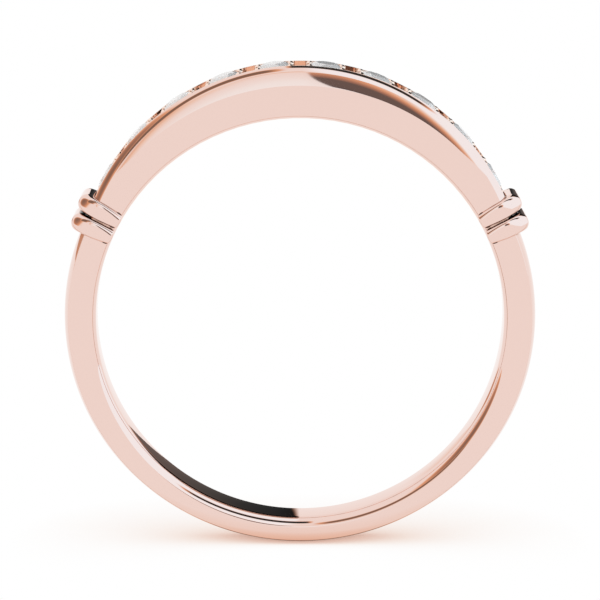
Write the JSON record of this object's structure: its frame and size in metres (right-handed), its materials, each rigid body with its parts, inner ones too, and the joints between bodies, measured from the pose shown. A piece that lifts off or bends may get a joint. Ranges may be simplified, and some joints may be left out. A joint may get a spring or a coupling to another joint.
{
  "type": "wedding band",
  "caption": "Slim rose gold wedding band with a tapered head, a row of round brilliants set in a channel, and paired wire wraps on each shoulder.",
  "frame": {"origin": "centre of the finger hole, midway between the band's front and back faces", "axes": "+Y along the finger hole, +Z from the hole's centre to the middle of the row of stones, +X across the ring"},
  "size_m": [0.02, 0.0022, 0.0209],
  "materials": {
    "rose_gold": "high polish",
    "bead_gold": "bright cut",
    "diamond": "polished facets"
  },
  "bodies": {
    "root": {"shank": "rose_gold", "gallery": "rose_gold", "front_rail": "rose_gold", "back_rail": "rose_gold", "wrap_left_upper": "rose_gold", "wrap_left_lower": "rose_gold", "wrap_right_upper": "rose_gold", "wrap_right_lower": "rose_gold", "diamond_1": "diamond", "diamond_2": "diamond", "diamond_3": "diamond", "diamond_4": "diamond", "diamond_5": "diamond", "diamond_6": "diamond", "diamond_7": "diamond", "diamond_8": "diamond", "diamond_9": "diamond", "diamond_10": "diamond", "beads_1": "bead_gold", "beads_2": "bead_gold", "beads_3": "bead_gold", "beads_4": "bead_gold", "beads_5": "bead_gold", "beads_6": "bead_gold", "beads_7": "bead_gold", "beads_8": "bead_gold", "beads_9": "bead_gold", "beads_10": "bead_gold"}
  },
  "joints": []
}
